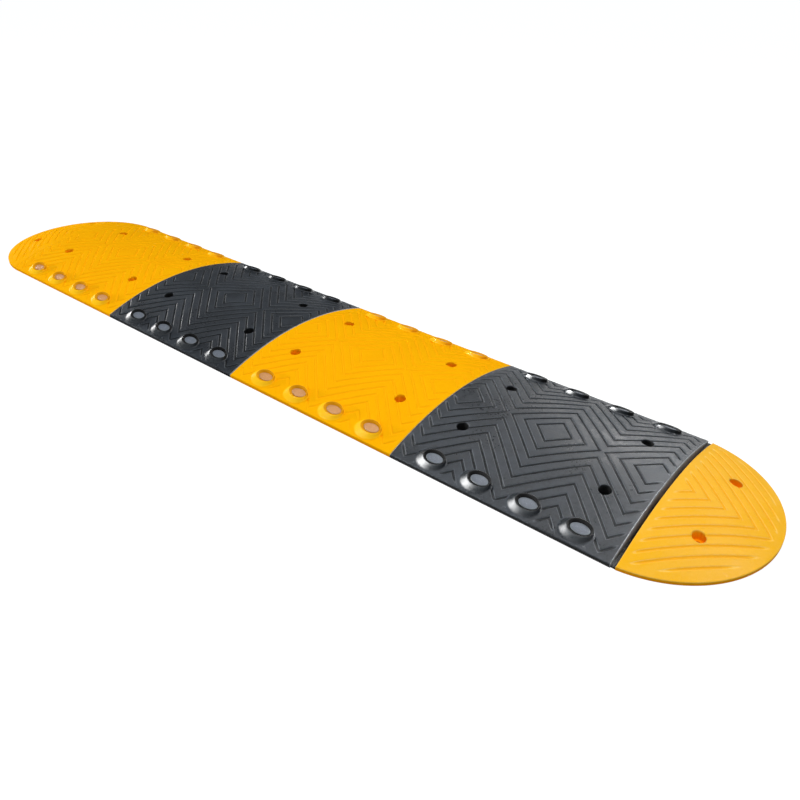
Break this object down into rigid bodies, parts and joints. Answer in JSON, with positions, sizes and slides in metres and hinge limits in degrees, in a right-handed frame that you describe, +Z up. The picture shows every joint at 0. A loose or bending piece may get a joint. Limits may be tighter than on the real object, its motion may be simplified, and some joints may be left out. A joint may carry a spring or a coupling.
{
  "type": "speed bump",
  "caption": "Modular rubber speed bump with an arched profile, diamond tread, raised oval reflectors, bolt holes and rounded end caps, in alternating yellow and black.",
  "frame": {"origin": "on the road, under the middle of the whole bump", "axes": "+X along the bump, +Y across it to the rear side, +Z up"},
  "size_m": [2.44, 0.48, 0.05],
  "materials": {
    "yellow_rubber": "satin moulded rubber",
    "black_rubber": "satin moulded rubber",
    "lens_on_yellow": "clear prismatic acrylic",
    "lens_on_black": "clear prismatic acrylic"
  },
  "bodies": {
    "root": {"end_cap_left": "yellow_rubber", "module_1_yellow": "yellow_rubber", "module_1_front_reflector_1": "lens_on_yellow", "module_1_front_reflector_2": "lens_on_yellow", "module_1_front_reflector_3": "lens_on_yellow", "module_1_front_reflector_4": "lens_on_yellow", "module_1_rear_reflector_1": "lens_on_yellow", "module_1_rear_reflector_2": "lens_on_yellow", "module_1_rear_reflector_3": "lens_on_yellow", "module_1_rear_reflector_4": "lens_on_yellow", "module_2_black": "black_rubber", "module_2_front_reflector_1": "lens_on_black", "module_2_front_reflector_2": "lens_on_black", "module_2_front_reflector_3": "lens_on_black", "module_2_front_reflector_4": "lens_on_black", "module_2_rear_reflector_1": "lens_on_black", "module_2_rear_reflector_2": "lens_on_black", "module_2_rear_reflector_3": "lens_on_black", "module_2_rear_reflector_4": "lens_on_black", "module_3_yellow": "yellow_rubber", "module_3_front_reflector_1": "lens_on_yellow", "module_3_front_reflector_2": "lens_on_yellow", "module_3_front_reflector_3": "lens_on_yellow", "module_3_front_reflector_4": "lens_on_yellow", "module_3_rear_reflector_1": "lens_on_yellow", "module_3_rear_reflector_2": "lens_on_yellow", "module_3_rear_reflector_3": "lens_on_yellow", "module_3_rear_reflector_4": "lens_on_yellow", "module_4_black": "black_rubber", "module_4_front_reflector_1": "lens_on_black", "module_4_front_reflector_2": "lens_on_black", "module_4_front_reflector_3": "lens_on_black", "module_4_front_reflector_4": "lens_on_black", "module_4_rear_reflector_1": "lens_on_black", "module_4_rear_reflector_2": "lens_on_black", "module_4_rear_reflector_3": "lens_on_black", "module_4_rear_reflector_4": "lens_on_black", "end_cap_right": "yellow_rubber"}
  },
  "joints": []
}
